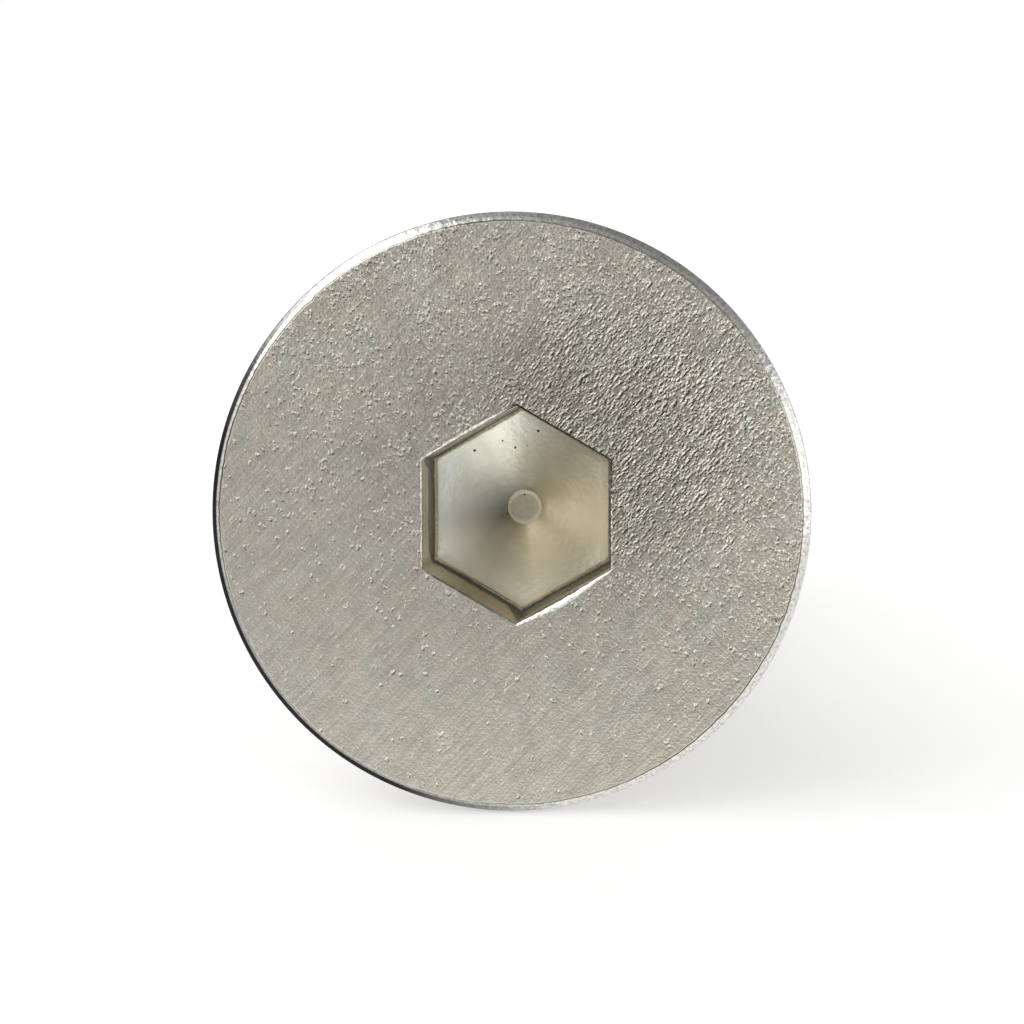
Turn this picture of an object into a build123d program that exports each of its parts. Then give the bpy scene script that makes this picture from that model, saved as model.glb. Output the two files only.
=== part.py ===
from build123d import *
import os
from math import atan2, ceil, cos, degrees, radians, sin, tan

# Countersunk screw with a hexagon socket, M8 x 20, threaded up to its head.
# All sizes are in millimetres and degrees.
# The screw is modelled along Z, with the flat of its head at zero and its tip at full length.
# At the end it is laid on its side, as it comes to rest on a table.

# Overall
length = 20.0

# Head
head_diameter = 16.0
seat_angle = 90.0
land_height = 0.4
rim_bevel = 0.16
rim_bevel_angle = 45.0

# Hexagon socket
socket_flats = 5.02
socket_depth = 3.6
floor_angle = 120.0
floor_disc_diameter = 0.92
floor_edge_radius = 0.2

# Neck between head and thread, as thick as the blank that the thread is rolled on
neck_diameter = 7.19
neck_clearance = 1.0
under_head_radius = 0.5

# Thread
thread_diameter = 7.95
thread_pitch = 1.25
thread_angle = 60.0
run_out_turns = 1.0
tip_diameter = 6.4
tip_angle = 45.0
# How far before the tip chamfer the last whole crest ends underneath, in pitches. The cut crest
# behind it then just touches the table too, and the screw rests steadily on both.
resting_crest_gap = 0.6

# How far a cutting tool reaches past the surface that it cuts
tool_overshoot = 0.05

# The direction about the axis that faces down when the screw lies, from X towards Y
underside = 90.0


def cone_length(rise, angle):
    """Length along the axis in which a cone surface rises by this much, at this angle to the axis."""
    return rise / tan(radians(angle))


head_radius = head_diameter / 2
neck_radius = neck_diameter / 2
thread_radius = thread_diameter / 2
tip_radius = tip_diameter / 2

# The basic profile of a metric thread: a sharp V would be this high, and five eighths of it is cut,
# which leaves a root flat of a quarter of the pitch and a crest flat of an eighth.
sharp_height = cone_length(thread_pitch / 2, thread_angle / 2)
thread_depth = sharp_height * 5 / 8
root_radius = thread_radius - thread_depth
root_flat = thread_pitch / 4
crest_flat = thread_pitch / 8
groove_half_width = root_flat / 2 + (thread_depth + tool_overshoot) * tan(radians(thread_angle / 2))

# Stations along the axis, from the head to the tip
seat_end = land_height + cone_length(head_radius - neck_radius, seat_angle / 2)
rounding_end = seat_end + under_head_radius * tan(radians(seat_angle / 4))
run_out_start = rounding_end + neck_clearance + groove_half_width
run_out_length = run_out_turns * thread_pitch
full_thread_start = run_out_start + run_out_length
tip_chamfer_start = length - cone_length(thread_radius - tip_radius, tip_angle)
resting_crest_end = tip_chamfer_start - resting_crest_gap * thread_pitch


def make_blank():
    """The screw before its socket and thread are cut, turned from the outline of one half."""
    outline = [
        (0, 0),
        (head_radius - rim_bevel, 0),
        (head_radius, cone_length(rim_bevel, rim_bevel_angle)),
        (head_radius, land_height),
        (neck_radius, seat_end),
        (neck_radius, run_out_start),
        (thread_radius, full_thread_start),
        (thread_radius, tip_chamfer_start),
        (tip_radius, length),
        (0, length),
    ]
    section = make_face(Polyline(*outline, close=True))
    under_head = section.vertices().sort_by_distance((neck_radius, seat_end))[0]
    return revolve(Plane.XZ * fillet(under_head, under_head_radius), Axis.Z)


def make_socket():
    """The space of the socket: a hexagonal prism that ends in a cone with a small flat tip."""
    flat_radius = socket_flats / 2
    corner_radius = flat_radius / cos(radians(30))
    disc_radius = floor_disc_diameter / 2
    floor_depth = socket_depth + cone_length(flat_radius - disc_radius, floor_angle / 2)
    wide_radius = corner_radius + tool_overshoot
    wide_depth = socket_depth - cone_length(wide_radius - flat_radius, floor_angle / 2)

    hexagon = RegularPolygon(flat_radius, 6, major_radius=False, rotation=30)
    prism = extrude(Pos(0, 0, -tool_overshoot) * hexagon, tool_overshoot + floor_depth)
    punch_outline = [
        (0, -tool_overshoot),
        (wide_radius, -tool_overshoot),
        (wide_radius, wide_depth),
        (disc_radius, floor_depth),
        (0, floor_depth),
    ]
    punch = revolve(Plane.XZ * make_face(Polyline(*punch_outline, close=True)), Axis.Z)
    socket = prism & punch
    floor = socket.faces().filter_by(GeomType.CONE)[0]
    return fillet(floor.edges().filter_by(GeomType.HYPERBOLA), floor_edge_radius)


def make_groove():
    """The thread groove: a tool for each turn, and a last one that climbs out of the metal.

    It is turned about the axis until a crest ends at the resting station on the screw's underside.
    """
    outer_radius = thread_radius + tool_overshoot
    corners = [
        (outer_radius, groove_half_width),
        (root_radius, root_flat / 2),
        (root_radius, -root_flat / 2),
        (outer_radius, -groove_half_width),
    ]
    section = Plane.XZ * make_face(Polyline(*corners, close=True))
    path = Edge.make_helix(thread_pitch, thread_pitch, thread_radius)
    turn = sweep(section, path=path, is_frenet=True)
    turns = ceil((length - full_thread_start) / thread_pitch) + 1
    groove = [Pos(0, 0, full_thread_start + i * thread_pitch) * turn for i in range(turns)]

    # The last turn follows a cone, on which the helix needs its pitch along the slant
    climb = neck_radius - root_radius + tool_overshoot
    climb_angle = degrees(atan2(climb, run_out_length))
    slant_pitch = thread_pitch / cos(radians(climb_angle))
    climb_path = Edge.make_helix(slant_pitch, run_out_length, thread_radius, angle=climb_angle)
    run_out = sweep(section, path=climb_path, is_frenet=True)
    groove.append(Pos(0, 0, full_thread_start) * Rot(180, 0, 0) * run_out)

    # Unturned, a crest ends a crest's half width past the middle between two grooves
    crest_end = full_thread_start + (thread_pitch + crest_flat) / 2
    turns_on = (resting_crest_end - crest_end) / thread_pitch
    return [Rot(0, 0, underside - 360 * (turns_on % 1)) * tool for tool in groove]


def lay_down(screw, blank):
    """Tilt the axis until the edge of the head and the resting crest touch the table."""
    tilt = atan2(head_radius - thread_radius, resting_crest_end - land_height)
    turned = Rot(-90 - degrees(tilt), 0, 0)
    centre = (turned * blank).bounding_box().center()
    head_drop = head_radius * cos(tilt) + land_height * sin(tilt)
    return Pos(-centre.X, -centre.Y, head_drop) * turned * screw


blank = make_blank()
screw = blank - make_socket() - make_groove()

os.makedirs("parts", exist_ok=True)
export_step(lay_down(screw, blank), "parts/screw.step")
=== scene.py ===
import random
from math import atan2, cos, pi, radians, sin, sqrt, tan

import bmesh
import bpy
import numpy as np
from mathutils import Matrix, Vector


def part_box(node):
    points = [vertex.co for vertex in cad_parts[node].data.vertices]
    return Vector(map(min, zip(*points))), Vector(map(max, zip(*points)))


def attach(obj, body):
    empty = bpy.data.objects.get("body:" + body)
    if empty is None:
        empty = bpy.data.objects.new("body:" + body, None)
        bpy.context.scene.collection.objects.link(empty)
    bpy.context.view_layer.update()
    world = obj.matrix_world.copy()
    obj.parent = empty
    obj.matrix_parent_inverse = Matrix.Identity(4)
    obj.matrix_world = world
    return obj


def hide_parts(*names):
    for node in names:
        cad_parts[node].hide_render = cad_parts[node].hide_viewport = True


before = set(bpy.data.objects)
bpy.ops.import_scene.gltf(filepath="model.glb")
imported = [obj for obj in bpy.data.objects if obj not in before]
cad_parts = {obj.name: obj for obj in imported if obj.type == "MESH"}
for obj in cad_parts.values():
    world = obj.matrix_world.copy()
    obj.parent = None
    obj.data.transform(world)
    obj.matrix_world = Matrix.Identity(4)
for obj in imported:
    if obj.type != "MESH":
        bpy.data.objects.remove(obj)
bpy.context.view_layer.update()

# The looks of a countersunk screw with a hexagon socket, which lies on its side.
# Sizes are in millimetres and degrees. Angles round the head are seen from in front of it:
# 0 is to the right and 90 is up. Depth is measured from the flat of the head towards the tip.

# Sizes of the solid
LENGTH = 20.0
HEAD_RADIUS = 8.0
LAND_HEIGHT = 0.4
RIM_BEVEL = 0.16
SOCKET_FLAT = 2.51
SOCKET_DEPTH = 3.6
FLOOR_HALF_ANGLE = 60.0
DISC_RADIUS = 0.46
FLOOR_FILLET = 0.2
NECK_RADIUS = 3.595
UNDER_HEAD_RADIUS = 0.5
THREAD_RADIUS = 3.975
PITCH = 1.25
FLANK_ANGLE = 30.0
RUN_OUT_START = 6.588
FULL_THREAD_START = 7.838
TIP_RADIUS = 3.2
TIP_CHAMFER_START = 19.225
RESTING_CREST_END = 18.475
CREST_FLAT = PITCH / 8
ROOT_FLAT = PITCH / 4
THREAD_DEPTH = PITCH / 2 / tan(radians(FLANK_ANGLE)) * 5 / 8

# Finer forms. The socket, and the circle at which the head's flat ends, are a little off the axis
SOCKET_OFFSET = (0.195, -0.03)
RIM_CENTRE = (0.0, -0.03)
RIM_RADIUS = 7.73
RIM_DEPTH = 0.21
ROOT_ROUNDING = 0.22
RUN_OUT_LIFT = 0.05
THREAD_EDGE_ROUNDING = 0.02
TIP_DISH = 0.06

# Roundness of the hexagon's corners: of the floor's edge, of the walls at their foot, by how much
# less at their top, and of the mouth
FLOOR_CORNER = 0.12
WALL_CORNER = 0.14
WALL_CORNER_LOSS = 0.1
MOUTH_CORNER = 0.03

# The floor's disc, with a low ridge round it: distance to the axis and height
DISC_PROFILE = ((0.2, 0), (0.38, 0), (0.425, 0.006), (0.45, 0.012), (0.475, 0.004))
FLOOR_INNER_RADIUS = 0.5

# The head's edge: places across it as shares of its width, and the parts that start there
RIM_PROFILE = (
    (0.04, "crease"), (0.2, "rim"), (0.32, "rim"), (0.46, "rim"),
    (0.6, "rim"), (0.74, "rim"), (0.87, "rim"), (0.96, "land"),
)
CREASE_DEPTH = 0.008
LAND_START = 0.24

# The rounded edge between land and seat: distance inside the head's radius and depth
SEAT_EDGE = ((0, 0.345), (0.012, 0.385), (0.045, 0.43))

# The tip's end face: distance to the axis and depth
TIP_PROFILE = ((3.185, 20.0), (3.15, 20.0), (2.9, 19.995), (2.2, 19.96), (1.2, 19.945))

# How finely the mesh is divided: columns round the head and the shank, places along one pitch from
# a groove's middle to a crest's, and the depth at which the shank's mesh starts
HEAD_COLUMNS = 480
SHANK_COLUMNS = 160
HALF_PITCH_PLACES = (
    0, 0.04, 0.08, 0.12, 0.16, 0.2, 0.25, 0.3, 0.35, 0.395, 0.42, 0.44, 0.46, 0.48, 0.5,
)
STITCH_DEPTH = 5.3

# How the screw lies: the tilt of its axis, and its own directions
TILT = atan2(HEAD_RADIUS - THREAD_RADIUS, RESTING_CREST_END - LAND_HEIGHT)
RIGHT = Vector((1, 0, 0))
UP = Vector((0, sin(TILT), cos(TILT)))
OUT = Vector((0, -cos(TILT), sin(TILT)))

# Colours of the steel
MAUVE_STEEL = (0.62, 0.572, 0.485)
GREEN_STEEL = (0.6, 0.588, 0.5)
WARM_STEEL = (0.74, 0.695, 0.575)
COOL_STEEL = (0.71, 0.75, 0.75)
DISC_STEEL = (0.74, 0.67, 0.5)
BRIGHT_STEEL = (0.84, 0.82, 0.77)

# The stops below are shares of a turn, which starts at the right and goes up, with a value for each.
# Painted reflections of light and shade on the socket's floor, as tones: overall, beside its disc,
# towards its edge, and of its rounded edge
FLOOR_TONE = (
    (0.0, 0.95), (0.06, 1.0), (0.12, 0.98), (0.22, 1.0), (0.28, 0.96), (0.34, 0.74), (0.42, 0.8),
    (0.5, 0.64), (0.56, 0.52), (0.67, 0.5), (0.72, 0.68), (0.78, 0.97), (0.84, 0.9), (1.0, 0.95),
)
FLOOR_NEAR = (
    (0.0, 0.88), (0.06, 0.85), (0.16, 0.66), (0.28, 0.5), (0.34, 0.42), (0.44, 0.46), (0.5, 0.34),
    (0.56, 0.34), (0.64, 0.58), (0.72, 0.8), (0.78, 1.0), (0.9, 0.97), (1.0, 0.88),
)
FLOOR_FAR = (
    (0.0, 0.6), (0.15, 0.62), (0.25, 0.8), (0.34, 0.76), (0.44, 0.85), (0.5, 0.98), (0.6, 0.95),
    (0.68, 0.85), (0.75, 0.66), (0.84, 0.58), (1.0, 0.6),
)
FILLET = (
    (0.0, 0.7), (0.2, 0.5), (0.3, 1.0), (0.6, 1.0), (0.64, 0.6), (0.72, 0.7), (0.78, 1.0),
    (0.9, 0.9), (1.0, 0.7),
)

# Where the floor's steel is cool instead of warm
FLOOR_COOL = (
    (0.0, 0.0), (0.12, 0.1), (0.24, 1.0), (0.48, 1.0), (0.62, 0.3), (0.7, 0.0), (1.0, 0.0),
)

# From which share of the socket's depth its walls carry painted shade
WALL_SHADE_FROM = (
    (0.0, 0.3), (0.22, 0.3), (0.26, 0.1), (0.41, 0.1), (0.43, 0.45), (0.57, 0.45),
    (0.59, 0.72), (0.74, 0.72), (0.76, 0.15), (0.9, 0.15), (1.0, 0.3),
)

# Painted highlights and shade, as tones, of the socket's mouth, of the crease inside the head's edge,
# and of the edge's inner and outer part
MOUTH = (
    (0.0, 0.5), (0.04, 0.06), (0.24, 0.02), (0.27, 1.0), (0.58, 1.0), (0.62, 0.3), (0.72, 0.3),
    (0.77, 1.0), (0.9, 1.0), (0.94, 0.5), (1.0, 0.5),
)
CREASE = (
    (0.0, 0.25), (0.12, 0.5), (0.24, 0.4), (0.27, 0.15), (0.33, 0.4), (0.36, 0.2), (0.5, 0.08),
    (0.57, 0.5), (0.7, 0.6), (0.78, 0.35), (0.85, 0.15), (1.0, 0.25),
)
RIM_INNER = (
    (0.0, 0.74), (0.07, 0.7), (0.11, 0.75), (0.17, 0.65), (0.23, 0.68), (0.28, 0.7),
    (0.32, 0.95), (0.4, 0.95), (0.46, 0.95), (0.51, 0.6), (0.57, 0.42), (0.7, 0.42),
    (0.74, 0.7), (0.78, 1.0), (0.86, 1.0), (1.0, 0.74),
)
RIM_OUTER = (
    (0.0, 0.68), (0.07, 0.66), (0.11, 0.65), (0.17, 0.5), (0.24, 0.5), (0.28, 0.4),
    (0.33, 0.6), (0.37, 0.4), (0.42, 0.08), (0.46, 0.0), (0.69, 0.0), (0.73, 0.35),
    (0.78, 1.0), (0.86, 1.0), (1.0, 0.75),
)

# Painted shade of pits in the socket's floor, as dark dots: place and radius
FLOOR_PIT_SHADES = (
    (0.62, 2.18, 0.05), (-0.05, 1.7, 0.045), (-1.2, 1.62, 0.05), (-0.4, 1.9, 0.03),
    (0.3, 1.75, 0.025),
)

# Small marks on the flat of the head: place, radius and by how much they lighten it
FACE_MARKS = (
    (2.53, 1.02, 0.06, 2.0), (2.5, 7.43, 0.05, 1.5), (7.05, -2.77, 0.07, -0.8),
    (0.1, 6.5, 0.04, 1.0), (-4.2, 2.4, 0.04, 0.8),
)

# Dashes pressed into the flat of the head: how many there are to a millimetre along and across their
# slant, how much they wander, their size as a share of their cell, from which angle light falls on
# them, and how far their dark side lies from their bright one
FLECKS = {
    "seed": 1.0, "stretch": (4.4, 16.0, 1), "turn": 51, "bend": 0.45, "size": 0.4,
    "light_from": 140, "reach": 0.042,
}
SMALL_FLECKS = {
    "seed": 5.0, "stretch": (9.5, 19.0, 1), "turn": 44, "bend": 0.9, "size": 0.42,
    "light_from": 130, "reach": 0.04,
}
SPECKS = {
    "seed": 2.0, "stretch": (11.5, 9.5, 1), "turn": 25, "bend": 2.2, "size": 0.42,
    "light_from": 115, "reach": 0.045,
}

# Where the flecks are strongest, where painted glints lie on the socket's mouth, and the painted
# shade of a pit in the floor's disc
FLECKED_PLACE = (3.2, 2.3)
PAINTED_GLINT_PLACE = (2.9, -0.2)
DISC_PIT_SHADE = (SOCKET_OFFSET[0] - 0.02, SOCKET_OFFSET[1] + 0.36)

# Camera: how far it stands from the head's flat, above which point of it, and where it looks
CAMERA_DISTANCE = 50.0
CAMERA_FOOT = (3.0, 2.4)
CAMERA_AIM = (0.09, 0.045)
FRAME_WIDTH = 27.09
SENSOR_WIDTH = 36.0

# Lamps: direction from the screw, width and height in metres, and power in watts
LAMP_DISTANCE = 0.25
LAMPS = {
    "key": ((-0.62, -0.1, 0.75), (0.2, 0.2), 0.26),
    "spark": ((-0.413, -0.641, 0.647), (0.04, 0.04), 0.012),
    "fill": ((0.95, -0.2, 0.2), (0.2, 0.16), 0.1),
}

# Where the studio is dimmer: direction, the angles from it at which it is fully dim and no longer
# dim, and by how much. Behind the camera it is dimmer to the lower right than to the upper left.
WORLD_LIGHT = 0.95
DARKEST_WORLD = 0.02
BEHIND_CAMERA = (0.0, -1.0, 0.25)
SLANT = 0.9
WORLD_DIMMER = (
    (BEHIND_CAMERA, 25, 50, 0.52),
    ((0.5, 0.1, 0.85), 10, 50, 0.55),
    ((-1.0, -0.3, -0.05), 12, 45, 0.2),
)

# Half the width of the floor, in metres
FLOOR_REACH = 2.0


def face_middle():
    """The middle of the head's flat, from the box of the solid and the tilt of the screw."""
    low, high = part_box("screw")
    height = (HEAD_RADIUS * cos(TILT) + LAND_HEIGHT * sin(TILT)) / 1000
    front = (HEAD_RADIUS - RIM_BEVEL) * sin(TILT) / 1000
    return Vector((0, low.y + front, height))


MIDDLE = face_middle()


def place(radius, angle, depth, offset=(0, 0)):
    """Points, in metres, from distances to the axis, angles and depths."""
    radius, angle, depth = np.broadcast_arrays(radius, np.radians(angle), depth)
    across = (radius * np.cos(angle) + offset[0])[..., None] * np.array(RIGHT)
    along_up = (radius * np.sin(angle) + offset[1])[..., None] * np.array(UP)
    return np.array(MIDDLE) + (across + along_up - depth[..., None] * np.array(OUT)) / 1000


def hexagon(flat, corner, angles):
    """Distance from the axis to a hexagon with rounded corners."""
    bend = np.radians(np.abs((angles + 30) % 60 - 30))
    reach = (flat - corner) / cos(radians(30))
    gap = radians(30) - bend
    rounded = reach * np.cos(gap) + np.sqrt(np.maximum(corner**2 - (reach * np.sin(gap)) ** 2, 0))
    is_corner = np.tan(bend) * flat > (flat - corner) * tan(radians(30))
    return np.where(is_corner, rounded, flat / np.cos(bend))


def wobble(angles, seed, lowest, highest):
    """An uneven line round the axis, between about -1 and 1, of waves that close on themselves."""
    dice = random.Random(seed)
    total = np.zeros_like(angles)
    for wave in range(lowest, highest + 1):
        total += dice.gauss(0, 1) * np.sin(np.radians(wave * angles + dice.uniform(0, 360)))
    return total / sqrt(highest - lowest + 1)


def bump_at(angles, middle, width):
    """1 at this angle, and falling smoothly to 0 within a few widths."""
    apart = (angles - middle + 180) % 360 - 180
    return np.exp(-((apart / width) ** 2))


def cone_depth(radius):
    """Depth of the socket's conical floor."""
    return SOCKET_DEPTH + (SOCKET_FLAT - radius) / tan(radians(FLOOR_HALF_ANGLE))


def mouth_rounding(angles):
    """Radius of the socket's mouth edge: worn most at the lower right."""
    worn = 0.045 + 0.18 * bump_at(angles, 297, 23) + 0.05 * bump_at(angles, 120, 26)
    return worn + 0.006 * wobble(angles, 3, 9, 50)


def socket_rows(angles):
    """From the middle of the socket's floor up to its mouth: distances, depths and parts."""
    rows = []
    disc_depth = float(cone_depth(DISC_RADIUS))
    for radius, rise in DISC_PROFILE:
        rows.append((radius, disc_depth - rise, "floor_disc"))
    wall = hexagon(SOCKET_FLAT, WALL_CORNER, angles)
    touch = FLOOR_FILLET * tan(radians(30))
    floor_end = hexagon(SOCKET_FLAT - touch, FLOOR_CORNER, angles)
    for share in np.linspace(0, 1, 10):
        radius = FLOOR_INNER_RADIUS + (floor_end - FLOOR_INNER_RADIUS) * share
        rows.append((radius, cone_depth(radius), "floor"))
    foot = cone_depth(wall) - touch
    for turn in (48, 36, 24, 12, 0):
        inset = FLOOR_FILLET * (1 - cos(radians(turn)))
        radius = hexagon(SOCKET_FLAT - inset, WALL_CORNER, angles)
        part = "fillet" if turn else "wall"
        rows.append((radius, foot + FLOOR_FILLET * sin(radians(turn)), part))
    edge = mouth_rounding(angles)
    for share in (0.15, 0.35, 0.55, 0.75, 0.9):
        radius = hexagon(SOCKET_FLAT, WALL_CORNER - WALL_CORNER_LOSS * share, angles)
        rows.append((radius, foot * (1 - share) + edge * share, "wall"))
    for turn in (0, 22, 45, 68, 90):
        radius = hexagon(SOCKET_FLAT, MOUTH_CORNER, angles) + edge * (1 - cos(radians(turn)))
        part = "mouth" if turn < 90 else "face"
        rows.append((radius, edge * (1 - sin(radians(turn))), part))
    return rows


def rim_inner(angles):
    """Where the flat of the head ends: a circle with a nicked edge."""
    turned = np.radians(angles)
    x, y = RIM_CENTRE
    across = x * np.sin(turned) - y * np.cos(turned)
    circle = x * np.cos(turned) + y * np.sin(turned) + np.sqrt(RIM_RADIUS**2 - across**2)
    uneven = 0.007 * wobble(angles, 5, 6, 30) + 0.006 * wobble(angles, 6, 60, 150)
    nicks = 0.05 * bump_at(angles, 133, 0.9) + 0.03 * bump_at(angles, 338, 0.7)
    return circle + np.clip(uneven, -0.03, 0.03) - nicks


def head_rows(angles):
    """From the socket's mouth over the face, the rim and the seat to the neck."""
    rows = []
    mouth = hexagon(SOCKET_FLAT, MOUTH_CORNER, angles) + mouth_rounding(angles)
    rim = rim_inner(angles)
    for share in (0.004, 0.03, 0.08, 0.15, 0.25, 0.36, 0.48, 0.6, 0.72, 0.84, 0.95, 0.998, 1):
        rows.append((mouth + (rim - mouth) * share, 0 * angles, "face"))
    width = HEAD_RADIUS - rim
    for share, part in RIM_PROFILE:
        rows.append((rim + width * share, CREASE_DEPTH + RIM_DEPTH * share**1.2, part))
    rows.append((HEAD_RADIUS + 0 * angles, LAND_START + 0 * angles, "land"))
    for inset, depth in SEAT_EDGE:
        rows.append((HEAD_RADIUS - inset + 0 * angles, depth, "seat"))

    seat_end = LAND_HEIGHT + HEAD_RADIUS - NECK_RADIUS
    tangent = UNDER_HEAD_RADIUS * tan(radians(22.5))
    first = HEAD_RADIUS - SEAT_EDGE[-1][0]
    last = NECK_RADIUS + tangent * sin(radians(45))
    for share in (0.2, 0.4, 0.6, 0.8, 0.95):
        radius = first + (last - first) * share
        rows.append((radius, LAND_HEIGHT + HEAD_RADIUS - radius, "seat"))
    for turn in (45, 35, 25, 15, 7, 0):
        radius = NECK_RADIUS + UNDER_HEAD_RADIUS * (1 - cos(radians(turn)))
        rows.append((radius, seat_end + tangent - UNDER_HEAD_RADIUS * sin(radians(turn)), "seat"))
    return rows


def soft_lowest(a, b, reach):
    """The lower of two heights, with the edge between them rounded."""
    mix = np.clip(0.5 + (b - a) / (2 * reach), 0, 1)
    return b * (1 - mix) + a * mix - reach * mix * (1 - mix)


def thread_radius(angles, depths):
    """Distance from the axis to the surface of the shank."""
    blank = np.interp(
        depths,
        (RUN_OUT_START, FULL_THREAD_START, TIP_CHAMFER_START, LENGTH),
        (NECK_RADIUS, THREAD_RADIUS, THREAD_RADIUS, TIP_RADIUS),
    )
    groove = RESTING_CREST_END - CREST_FLAT / 2 - PITCH / 2 - PITCH * (angles + 90) / 360
    groove = groove + PITCH * np.round((depths - groove) / PITCH)
    away = np.abs(depths - groove)
    climb = np.clip((FULL_THREAD_START - groove) / (FULL_THREAD_START - RUN_OUT_START), 0, None)
    root = THREAD_RADIUS - THREAD_DEPTH
    root = root + climb * (NECK_RADIUS + RUN_OUT_LIFT - root)
    apex = -ROOT_FLAT / 2 / tan(radians(FLANK_ANGLE))
    flank = apex + away / tan(radians(FLANK_ANGLE))
    turn = ROOT_ROUNDING * cos(radians(FLANK_ANGLE))
    rounded = apex + 2 * ROOT_ROUNDING - np.sqrt(np.maximum(ROOT_ROUNDING**2 - away**2, 0))
    cut = root + np.where(away < turn, rounded, flank)
    is_cut = groove > RUN_OUT_START - PITCH / 2
    return soft_lowest(blank, np.where(is_cut, cut, blank + 1), THREAD_EDGE_ROUNDING)


def shank_rows(angles):
    """Rows that follow the thread's helix from neck to tip: distances, depths and rows per turn."""
    half = np.array(HALF_PITCH_PLACES)
    places = np.unique(np.round(np.concatenate((half, 1 - half)) % 1, 4))
    first = RESTING_CREST_END - CREST_FLAT / 2 - PITCH / 2 - PITCH * 90 / 360
    lowest = int(np.floor((STITCH_DEPTH - first) / PITCH)) - 1
    highest = int(np.ceil((LENGTH - first) / PITCH)) + 2
    steps = [first + PITCH * (turn + share) for turn in range(lowest, highest) for share in places]
    helical = np.array(steps)[:, None] - PITCH * angles[None, :] / 360
    depths = np.clip(helical, STITCH_DEPTH, LENGTH)
    start = max(int(np.argmax(depths.max(1) > STITCH_DEPTH)) - 1, 0)
    stop = int(np.argmax(depths.min(1) >= LENGTH)) + 1
    depths = depths[start:stop]
    return thread_radius(angles[None, :], depths), depths, len(places)


PARTS = (
    "floor_disc", "floor", "fillet", "wall", "mouth", "face",
    "crease", "rim", "land", "seat", "thread", "tip",
)


class Sheet:
    """Collects the points and faces of one mesh."""

    def __init__(self):
        self.points, self.faces, self.parts = [], [], []

    def ring(self, radius, angles, depth, offset=(0, 0)):
        """Adds points round the axis, and returns their numbers."""
        start = len(self.points)
        radius = np.broadcast_to(radius, angles.shape)
        depth = np.broadcast_to(depth, angles.shape)
        self.points.extend(place(radius, angles, depth, offset))
        return list(range(start, start + len(angles)))

    def face(self, corners, part):
        self.faces.append(corners)
        self.parts.append(PARTS.index(part))

    def band(self, one, two, part):
        """Quads between two rings of equal size."""
        for i in range(len(one)):
            j = (i + 1) % len(one)
            self.face((one[i], two[i], two[j], one[j]), part)

    def fan(self, middle, ring, part, outward=True):
        """Triangles between a point and a ring."""
        for i in range(len(ring)):
            j = (i + 1) % len(ring)
            corners = (middle, ring[i], ring[j]) if outward else (middle, ring[j], ring[i])
            self.face(corners, part)


def build_head(sheet, angles):
    """Socket, face, rim and seat. Returns the last ring, at the neck."""
    inside, outside = socket_rows(angles), head_rows(angles)
    rows = inside + outside
    rings = [sheet.ring(radius, angles, depth, SOCKET_OFFSET) for radius, depth, _ in inside]
    for number, (radius, depth, part) in enumerate(outside):
        off_axis = max(1 - number / 10, 0) if part == "face" else 0
        offset = (SOCKET_OFFSET[0] * off_axis, SOCKET_OFFSET[1] * off_axis)
        rings.append(sheet.ring(radius, angles, depth, offset))
    middle = sheet.ring(0.0, angles[:1], float(cone_depth(DISC_RADIUS)), SOCKET_OFFSET)[0]
    sheet.fan(middle, rings[0], "floor_disc")
    for one, two, (_, _, part) in zip(rings, rings[1:], rows):
        sheet.band(one, two, part)
    return rings[-1]


def build_shank(sheet, angles, head_ring):
    """Neck, thread and tip. The thread's rows close on those of the turn before."""
    radii, depths, per_turn = shank_rows(angles)
    turns = [sheet.ring(radii[k], angles, depths[k]) for k in range(len(radii))]

    # Three columns of the head meet one of the shank
    for i in range(SHANK_COLUMNS):
        head = [head_ring[(3 * i + k) % HEAD_COLUMNS] for k in range(4)]
        one, two = turns[0][i], turns[0][(i + 1) % SHANK_COLUMNS]
        sheet.face((head[0], one, head[1]), "seat")
        sheet.face((head[1], one, two, head[2]), "seat")
        sheet.face((head[2], two, head[3]), "seat")
    for k in range(len(turns) - 1):
        one, two = turns[k], turns[k + 1]
        for i in range(SHANK_COLUMNS - 1):
            sheet.face((one[i], two[i], two[i + 1], one[i + 1]), "thread")
        back, ahead = turns[max(k - per_turn, 0)], turns[max(k + 1 - per_turn, 0)]
        sheet.face((one[-1], two[-1], ahead[0], back[0]), "thread")
    for k in range(len(turns) - per_turn - 1, len(turns) - 1):
        sheet.face((turns[-1][-1], turns[k + 1][0], turns[k][0]), "thread")

    ends = [turns[-1]] + [sheet.ring(radius, angles, depth) for radius, depth in TIP_PROFILE]
    for one, two in zip(ends, ends[1:]):
        sheet.band(one, two, "tip")
    middle = sheet.ring(0.0, angles[:1], LENGTH - TIP_DISH)[0]
    sheet.fan(middle, ends[-1], "tip", outward=False)


def build_screw():
    """The whole screw as one closed mesh."""
    sheet = Sheet()
    head_ring = build_head(sheet, np.arange(HEAD_COLUMNS) * 360 / HEAD_COLUMNS)
    build_shank(sheet, np.arange(SHANK_COLUMNS) * 360 / SHANK_COLUMNS, head_ring)

    mesh = bpy.data.meshes.new("screw_finished")
    mesh.from_pydata([tuple(p) for p in sheet.points], [], sheet.faces)
    mesh.polygons.foreach_set("material_index", sheet.parts)
    closed = bmesh.new()
    closed.from_mesh(mesh)
    bmesh.ops.remove_doubles(closed, verts=closed.verts, dist=2e-8)
    for polygon in closed.faces:
        polygon.smooth = True
    closed.to_mesh(mesh)
    closed.free()
    made = bpy.data.objects.new("screw_finished", mesh)
    bpy.context.scene.collection.objects.link(made)
    return made


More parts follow.
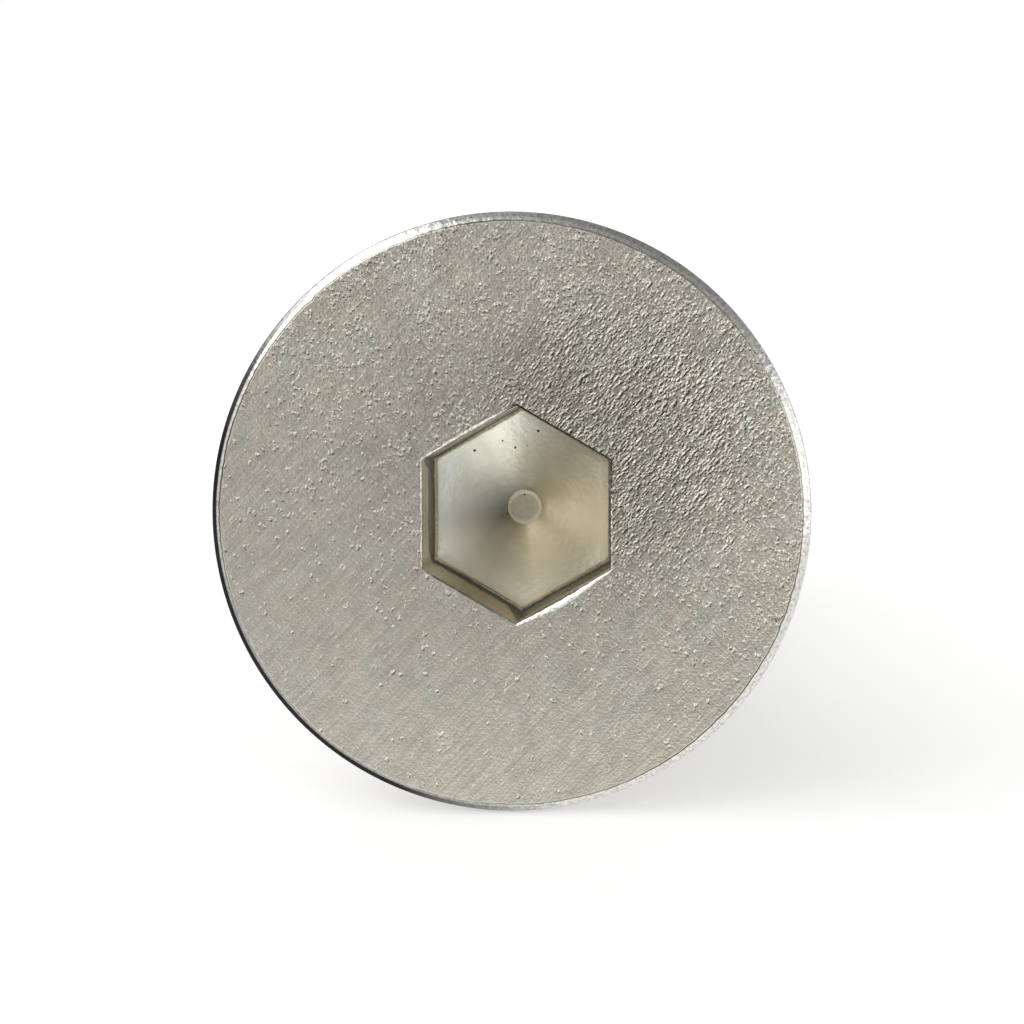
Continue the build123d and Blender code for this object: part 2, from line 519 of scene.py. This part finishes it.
class Value:
    """A number that shader nodes work out. Its sums, products and so on become Math nodes."""

    def __init__(self, socket):
        self.socket = socket
        self.tree = socket.id_data

    def math(self, operation, first, second):
        made = add(self.tree, "Math", {0: first, 1: second}, operation=operation)
        return Value(made.outputs[0])

    def __add__(self, other):
        return self.math("ADD", self, other)

    def __sub__(self, other):
        return self.math("SUBTRACT", self, other)

    def __rsub__(self, other):
        return self.math("SUBTRACT", other, self)

    def __mul__(self, other):
        return self.math("MULTIPLY", self, other)

    def __truediv__(self, other):
        return self.math("DIVIDE", self, other)

    __radd__ = __add__
    __rmul__ = __mul__

    def at_least(self, other):
        return self.math("MAXIMUM", self, other)

    def is_below(self, other):
        return self.math("LESS_THAN", self, other)


def add(tree, kind, inputs=None, **settings):
    """Adds a shader node. Its inputs are plain values or the outputs of other nodes."""
    made = tree.nodes.new("ShaderNode" + kind)
    for name, value in settings.items():
        setattr(made, name, value)
    for name, value in (inputs or {}).items():
        if isinstance(value, Value):
            value = value.socket
        if isinstance(value, bpy.types.NodeSocket):
            tree.links.new(value, made.inputs[name])
        else:
            made.inputs[name].default_value = value
    return made


def new_tree(name):
    """A material with an empty node tree and its output node."""
    material = bpy.data.materials.new(name)
    material.use_nodes = True
    tree = material.node_tree
    tree.nodes.clear()
    return material, tree, add(tree, "OutputMaterial")


def own_place(tree):
    """Where a point is on the screw, in millimetres: right, up and out from the head's flat."""
    where = add(tree, "TexCoord").outputs["Object"]
    turned = {"Location": MIDDLE, "Rotation": (pi / 2 - TILT, 0, 0), "Scale": (0.001,) * 3}
    return add(tree, "Mapping", {"Vector": where, **turned}, vector_type="TEXTURE").outputs[0]


def moved(where, step):
    """A place, moved by this much."""
    return add(where.id_data, "VectorMath", {0: where, 1: step}, operation="ADD").outputs[0]


def along(where, direction):
    """How far a place lies in this direction."""
    made = add(
        where.id_data, "VectorMath", {0: where, 1: tuple(direction)}, operation="DOT_PRODUCT"
    )
    return Value(made.outputs["Value"])


def away_from(where, x, y):
    """Distance from a place on the head, measured along its flat."""
    tree = where.id_data
    flat = add(tree, "VectorMath", {0: where, 1: (1, 1, 0)}, operation="MULTIPLY").outputs[0]
    made = add(tree, "VectorMath", {0: flat, 1: (x, y, 0)}, operation="DISTANCE")
    return Value(made.outputs["Value"])


def angle_share(where, x=0.0, y=0.0):
    """The angle round a place on the head, as a share of a full turn."""
    parts = add(where.id_data, "SeparateXYZ", {0: moved(where, (-x, -y, 0))}).outputs
    up = Value(parts["Y"])
    turn = up.math("ARCTAN2", up, parts["X"]) / (2 * pi) + 1.0
    return Value(add(where.id_data, "Math", {0: turn}, operation="FRACT").outputs[0])


def slanted(where, stretch, turn, shift):
    """A place in a pattern that is turned, then stretched."""
    tree = where.id_data
    first = add(tree, "Mapping", {"Vector": where, "Rotation": (0, 0, radians(-turn))}).outputs[0]
    second = add(tree, "Mapping", {"Vector": first, "Scale": stretch, "Location": shift})
    return second.outputs[0]


def noise(where, scale, detail=2.0, seed=0.0, stretch=(1, 1, 1), turn=0.0):
    """Smooth noise between about 0.2 and 0.8."""
    there = slanted(where, stretch, turn, (seed, seed * 0.7, seed * 0.3))
    made = add(where.id_data, "TexNoise", {"Vector": there, "Scale": scale, "Detail": detail})
    return Value(made.outputs[0])


def smooth_step(value, low, high):
    """0 below low, 1 above high and smooth between."""
    inputs = {"Value": value, "From Min": low, "From Max": high}
    made = add(value.tree, "MapRange", inputs, interpolation_type="SMOOTHSTEP")
    return Value(made.outputs[0])


def patch(where, x, y, inner, outer):
    """1 within the inner distance of a place on the head, and 0 beyond the outer one."""
    return 1.0 - smooth_step(away_from(where, x, y), inner, outer)


def ramp(share, stops):
    """A grey that changes evenly from each stop to the next."""
    made = add(share.tree, "ValToRGB", {0: share})
    bar = made.color_ramp
    while len(bar.elements) < len(stops):
        bar.elements.new(0.5)
    for element, (position, grey) in zip(bar.elements, stops):
        element.position = position
        element.color = (grey, grey, grey, 1)
    return Value(made.outputs[0])


def mixed(share, one, other):
    """The one number where share is 0, and the other where it is 1."""
    made = add(share.tree, "Mix", {0: share, 2: one, 3: other}, data_type="FLOAT")
    return Value(made.outputs[0])


def mixed_colour(share, one, other):
    """The one colour where share is 0, and the other where it is 1."""
    made = add(share.tree, "Mix", {0: share, 6: (*one, 1), 7: (*other, 1)}, data_type="RGBA")
    return made.outputs[2]


def tinted(colour, tone):
    """A colour times a tone."""
    made = add(tone.tree, "VectorMath", {0: colour, "Scale": tone}, operation="SCALE")
    return made.outputs[0]


def patchy_colour(where, tone):
    """The steel's own colour, with faint mauve and green patches, times a tone."""
    patches = smooth_step(noise(where, 0.9, 2.0, 4.0), 0.38, 0.62)
    return tinted(mixed_colour(patches, MAUVE_STEEL, GREEN_STEEL), tone)


def finish_steel(output, colour, roughness, height, bump_depth):
    """Puts metal with this relief on a material's output. The depth of the relief is in metres."""
    tree = output.id_data
    metal = {"Base Color": colour, "Metallic": 1.0, "Roughness": roughness}
    shader = add(tree, "BsdfPrincipled", metal)
    bump = add(tree, "Bump", {"Height": height, "Strength": 1.0, "Distance": bump_depth})
    tree.links.new(bump.outputs[0], shader.inputs["Normal"])
    tree.links.new(shader.outputs[0], output.inputs[0])
    return shader


def dashes(where, kept, seed, stretch, turn, bend, size):
    """1 inside short separate dashes, one to each cell of a grid, of which this share is kept."""
    tree = where.id_data
    there = slanted(where, stretch, turn, (seed, seed * 0.7, 0))
    bent = add(tree, "TexNoise", {"Vector": there, "Scale": 1.3, "Detail": 2.0}).outputs[1]
    bent = add(tree, "VectorMath", {0: bent, "Scale": bend}, operation="SCALE").outputs[0]
    bent = moved(there, bent)
    cells = add(tree, "TexVoronoi", {"Vector": bent, "Scale": 1.0}, voronoi_dimensions="2D").outputs
    dice = add(tree, "SeparateColor", {0: cells["Color"]}).outputs
    reach = (Value(dice[1]) + 0.5) * size
    inside = 1.0 - smooth_step(Value(cells["Distance"]) / reach, 0.55, 1.0)
    return inside * Value(dice[0]).is_below(kept)


def lit_dashes(where, kept, light_from, reach, **pattern):
    """Raised dashes, and their tone: bright, with a dark side that is turned from the light."""
    step = Vector((cos(radians(light_from)), sin(radians(light_from)), 0)) * reach
    bright = dashes(where, kept, **pattern)
    dark = dashes(moved(where, step), kept, **pattern)
    return bright, bright - dark


def steel_face():
    """The head's flat: grain and slanting flecks, strongest above and right of the socket."""
    material, tree, output = new_tree("steel_face")
    where = own_place(tree)

    # Where the patterns are strong, and the share of dashes that is kept there
    strong = patch(where, *FLECKED_PLACE, 1.5, 5.4)
    upper = smooth_step(along(where, (0.35, 0.9, 0)), -5.0, 5.0)
    broken = smooth_step(noise(where, 0.9, 4.0, 7.0), 0.4, 0.6)
    gathered = smooth_step(noise(where, 1.6, 3.0, 4.0), 0.35, 0.6)
    kept_specks = (broken * 0.34 + 0.08) * (upper + 0.08)
    kept_flecks = strong * (gathered * 0.35 + 0.3) + 0.015

    flecks, fleck_tone = lit_dashes(where, kept_flecks, **FLECKS)
    small, small_tone = lit_dashes(where, kept_flecks, **SMALL_FLECKS)
    specks, speck_tone = lit_dashes(where, kept_specks, **SPECKS)
    hairs = noise(where, 1.0, 1.0, 9.0, stretch=(0.9, 13.0, 1), turn=46)
    streaks = noise(where, 1.0, 3.0, 6.0, stretch=(1.6, 15.0, 1), turn=51)
    grain = noise(where, 16.0, 3.0, 2.0)
    blotches = noise(where, 2.6, 4.0, 3.0)

    height = (flecks + small) * 0.14 + specks * 0.2
    height = height + grain * (upper * 0.35 + 0.25) + hairs * 0.15

    fleck_share = strong * 0.7 + 0.2
    tone = fleck_tone * fleck_share + 1.0 + small_tone * fleck_share + speck_tone * 0.65
    tone = tone + (grain - 0.5) * (upper * 1.1 + 0.25) + (hairs - 0.5) * 0.45
    tone = tone + (streaks - 0.5) * (strong * 1.5) + (blotches - 0.5) * 0.35

    # Painted light: lighter to the lower right. Darker round the socket and where the flecks are
    # strong
    near_socket = patch(where, 0, 0, 3.0, 6.5) * (upper + 0.35)
    tone = tone * (along(where, (0.016, -0.018, 0)) + 0.98)
    tone = tone * (1.0 - near_socket * 0.18) * (1.0 - strong * 0.24)
    for x, y, size, amount in FACE_MARKS:
        tone = tone + patch(where, x, y, size * 0.4, size) * amount
    finish_steel(output, patchy_colour(where, tone.at_least(0.08)), 0.22, height, 0.00003)
    return material


def steel_edge(name, tones, outer_tones=None, speckle=0.3):
    """The head's outer edge or the socket's mouth: rubbed bright, with painted highlights, painted
    shade that is dark in places, and painted glints.
    """
    material, tree, output = new_tree(name)
    where = own_place(tree)
    turn = angle_share(where)
    # Painted highlights and shade, by angle round the head
    tone = ramp(turn, tones)
    if outer_tones:
        outer = smooth_step(away_from(where, 0, 0), HEAD_RADIUS - 0.17, HEAD_RADIUS - 0.12)
        tone = mixed(outer, tone, ramp(turn, outer_tones))
    specks = smooth_step(noise(where, 11.0, 2.0, 3.0), 0.35, 0.6)
    # Painted glints near the socket's mouth
    painted_glints = smooth_step(noise(where, 13.0, 1.0, 9.0), 0.54, 0.6)
    painted_glints = painted_glints * patch(where, *PAINTED_GLINT_PLACE, 0.9, 1.5)
    specked = tone * (specks * speckle + (1.05 - speckle)) + painted_glints * 0.9
    grain = noise(where, 6.0, 2.0, 5.0)
    shader = finish_steel(output, tinted(BRIGHT_STEEL, specked), 0.2, grain, 0.00002)

    # Where the painted shade is dark, a dull coat covers the metal
    not_painted_dark = smooth_step(tone, 0.0, 0.3)
    tree.links.new(not_painted_dark.socket, shader.inputs["Metallic"])
    tree.links.new((not_painted_dark * 0.38 + 0.12).socket, shader.inputs["Specular IOR Level"])
    return material


def steel_wall():
    """The socket's walls: drawn smooth by the punch, with painted shade below where seen at a slant.
    """
    material, tree, output = new_tree("steel_wall")
    where = own_place(tree)
    drawn = noise(where, 1.0, 2.0, 6.0, stretch=(9, 9, 0.7))
    depth = Value(add(tree, "SeparateXYZ", {0: where}).outputs["Z"]) / -SOCKET_DEPTH
    depth = depth + (drawn - 0.5) * 0.2
    # Painted shade on the walls' lower part, near the floor
    painted_shade = smooth_step(depth - ramp(angle_share(where), WALL_SHADE_FROM), -0.04, 0.1)
    slant = smooth_step(Value(add(tree, "LayerWeight", {"Blend": 0.5}).outputs["Facing"]), 0.6, 0.85)
    tone = ((1.0 - painted_shade * 0.9) * 1.35 - 0.9) * slant + 0.9
    finish_steel(output, tinted(WARM_STEEL, tone), 0.25, drawn, 0.00003)
    return material


def steel_disc():
    """The small flat in the middle of the socket's floor, with a painted highlight on the ring round
    it and the painted shade of a pit.
    """
    material, tree, output = new_tree("steel_disc")
    where = own_place(tree)
    ring = smooth_step(away_from(where, *SOCKET_OFFSET), DISC_RADIUS - 0.07, DISC_RADIUS - 0.03)
    grain = noise(where, 9.0, 3.0, 2.0)
    # Painted highlight on the ring, and painted shade of a pit as a dark dot
    tone = ring * 0.16 + 0.62 - patch(where, *DISC_PIT_SHADE, 0.02, 0.05) * 0.4
    tone = tone * (grain * 0.2 + 0.9)
    finish_steel(output, tinted(DISC_STEEL, tone), 0.3, grain, 0.00001)
    return material


def steel_floor():
    """The socket's conical floor: burnished, with painted reflections of light and shade round it,
    beside its disc and towards its edge.
    """
    material, tree, output = new_tree("steel_floor")
    where = own_place(tree)
    turn = angle_share(where, *SOCKET_OFFSET)
    away = away_from(where, *SOCKET_OFFSET)
    near = 1.0 - smooth_step(away, 0.5, 1.7)
    far = smooth_step(away, 1.3, 2.3)
    # Painted reflections of light and shade, by angle round the disc
    tone = ramp(turn, FLOOR_TONE)
    tone = tone * (near * (ramp(turn, FLOOR_NEAR) * 1.35 - 1.0) + 1.0)
    tone = tone * (far * (ramp(turn, FLOOR_FAR) * 1.4 - 1.0) + 1.0)
    tone = tone * (noise(where, 1.2, 2.0, 8.0) * 0.24 + 0.88)
    # Painted shade of pits, as dark dots
    for x, y, size in FLOOR_PIT_SHADES:
        tone = tone * (1.0 - patch(where, x, y, size * 0.4, size))
    colour = mixed_colour(ramp(turn, FLOOR_COOL), WARM_STEEL, COOL_STEEL)
    finish_steel(output, tinted(colour, tone), 0.24, noise(where, 6.0, 3.0, 2.0), 0.000006)
    return material


def steel_shank(name, tone, roughness, lines_per_mm):
    """Seat, thread and tip: rolled and forged, with faint lines round the axis."""
    material, tree, output = new_tree(name)
    where = own_place(tree)
    lines = noise(where, 1.0, 2.0, 6.0, stretch=(0.6, 0.6, lines_per_mm))
    grain = noise(where, 7.0, 2.0, 8.0)
    cloud = noise(where, 0.8, 3.0, 5.0)
    colour = patchy_colour(where, (cloud * 0.5 + 0.75) * tone)
    finish_steel(output, colour, cloud * 0.12 + roughness, lines * 0.5 + grain * 0.3, 0.00002)
    return material


def shown_rays(tree):
    """1 for what the camera sees straight, in metal or through glass, and 0 for other light."""
    rays = add(tree, "LightPath").outputs
    shown = Value(rays["Is Camera Ray"]).at_least(rays["Is Glossy Ray"])
    return shown.at_least(rays["Is Transmission Ray"])


def make_floor():
    """A pale floor that keeps the screw's shadow, and turns to plain white further away."""
    material, tree, output = new_tree("pale_floor")
    where = add(tree, "TexCoord").outputs["Object"]
    away = add(tree, "VectorMath", {0: where}, operation="LENGTH").outputs["Value"]
    strength = shown_rays(tree) * (smooth_step(Value(away), 0.02, 0.2) * 0.35 + 0.45)
    tone = noise(where, 900.0, 2.0) * 0.04 + 0.55
    diffuse = add(tree, "BsdfDiffuse", {"Color": tinted((1.0, 1.0, 0.995), tone)})
    glow = add(tree, "Emission", {"Color": (1, 1, 1, 1), "Strength": strength})
    both = add(tree, "AddShader", {0: diffuse.outputs[0], 1: glow.outputs[0]})
    tree.links.new(both.outputs[0], output.inputs[0])

    mesh = bpy.data.meshes.new("floor")
    corners = [(x * FLOOR_REACH, y * FLOOR_REACH, 0) for x, y in ((-1, -1), (1, -1), (1, 1), (-1, 1))]
    mesh.from_pydata(corners, [], [(0, 1, 2, 3)])
    mesh.materials.append(material)
    floor = bpy.data.objects.new("floor", mesh)
    bpy.context.scene.collection.objects.link(floor)


def make_lamp(name, towards, size, power):
    """A soft area lamp in this direction from the screw, which it faces."""
    data = bpy.data.lights.new(name, "AREA")
    data.shape = "RECTANGLE"
    data.size, data.size_y = size
    data.energy = power
    lamp = bpy.data.objects.new(name, data)
    towards = Vector(towards).normalized()
    lamp.location = MIDDLE + towards * LAMP_DISTANCE
    lamp.rotation_euler = towards.to_track_quat("Z", "Y").to_euler()
    bpy.context.scene.collection.objects.link(lamp)


def make_world():
    """A soft pale studio. The camera sees it plain white, and its dimmer sides only in metal."""
    world = bpy.data.worlds.new("studio")
    world.use_nodes = True
    tree = world.node_tree
    tree.nodes.clear()
    where = add(tree, "TexCoord").outputs["Generated"]
    light = shown_rays(tree) * (1.0 - WORLD_LIGHT) + WORLD_LIGHT
    unseen = 1.0 - Value(add(tree, "LightPath").outputs["Is Camera Ray"])
    for towards, narrow, wide, amount in WORLD_DIMMER:
        near = along(where, Vector(towards).normalized())
        near = smooth_step(near, cos(radians(wide)), cos(radians(narrow)))
        if towards == BEHIND_CAMERA:
            amount = along(where, RIGHT - UP) * SLANT + amount
        light = light - near * amount * unseen
    strength = light.at_least(DARKEST_WORLD)
    background = add(tree, "Background", {"Color": (1, 1, 1, 1), "Strength": strength})
    add(tree, "OutputWorld", {"Surface": background.outputs[0]})
    bpy.context.scene.world = world


def make_camera():
    """Looks at the middle of the head's flat from a little to the right of it and above it."""
    data = bpy.data.cameras.new("camera")
    data.sensor_width = SENSOR_WIDTH
    data.lens = SENSOR_WIDTH * CAMERA_DISTANCE / FRAME_WIDTH
    data.clip_start, data.clip_end = 0.005, 20
    camera = bpy.data.objects.new("camera", data)
    stand = RIGHT * CAMERA_FOOT[0] + UP * CAMERA_FOOT[1] + OUT * CAMERA_DISTANCE
    camera.location = MIDDLE + stand / 1000
    sight = (stand - RIGHT * CAMERA_AIM[0] - UP * CAMERA_AIM[1]).normalized()
    side = UP.cross(sight).normalized()
    axes = Matrix((side, sight.cross(side), sight)).transposed()
    camera.rotation_euler = axes.to_euler()
    bpy.context.scene.collection.objects.link(camera)
    bpy.context.scene.camera = camera


def main():
    bpy.context.scene.view_settings.view_transform = "Standard"
    make_camera()
    make_world()
    make_floor()
    for name, (towards, size, power) in LAMPS.items():
        make_lamp(name, towards, size, power)
    screw = build_screw()
    finishes = {
        "floor_disc": steel_disc(),
        "floor": steel_floor(),
        "fillet": steel_edge("steel_fillet", FILLET),
        "wall": steel_wall(),
        "mouth": steel_edge("steel_mouth", MOUTH, speckle=0.4),
        "face": steel_face(),
        "crease": steel_edge("steel_crease", CREASE),
        "rim": steel_edge("steel_rim", RIM_INNER, RIM_OUTER),
        "land": steel_edge("steel_land", RIM_OUTER),
        "seat": steel_shank("steel_seat", tone=0.95, roughness=0.22, lines_per_mm=9.0),
        "thread": steel_shank("steel_thread", tone=0.95, roughness=0.2, lines_per_mm=5.0),
        "tip": steel_shank("steel_tip", tone=0.85, roughness=0.3, lines_per_mm=1.0),
    }
    for part in PARTS:
        screw.data.materials.append(finishes[part])
    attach(screw, "root")
    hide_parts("screw")


main()
